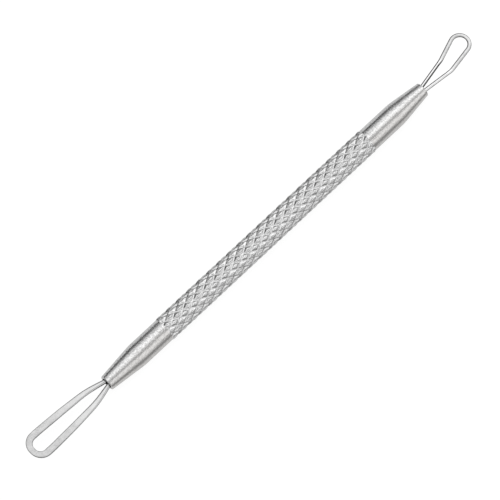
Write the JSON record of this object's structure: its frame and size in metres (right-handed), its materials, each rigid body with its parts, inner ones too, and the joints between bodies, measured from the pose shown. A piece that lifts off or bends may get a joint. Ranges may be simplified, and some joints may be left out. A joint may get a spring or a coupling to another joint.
{
  "type": "blackhead extractor",
  "caption": "Double-ended blackhead extractor: a knurled steel bar with a wide flat wire loop in one end and a slim bent wire loop in the other.",
  "frame": {"origin": "on the bar's axis, half way between the bar's two end faces", "axes": "+X along the bar towards the small loop; both loops lie in the XY plane, and the small loop's head is turned towards +Y; +Z is square to the loops"},
  "size_m": [0.1213, 0.0067, 0.0052],
  "materials": {
    "turned_steel": "bare stainless steel, knurled in the middle, fine turning marks on the smooth ends",
    "satin_wire": "bare stainless wire pressed flat, satin",
    "bright_wire": "bare stainless wire, bright",
    "solder": "dull grey solder, hidden inside the bores"
  },
  "bodies": {
    "root": {"handle": "turned_steel", "large_loop": "satin_wire", "small_loop": "bright_wire", "large_loop_solder": "solder", "small_loop_solder": "solder"}
  },
  "joints": []
}
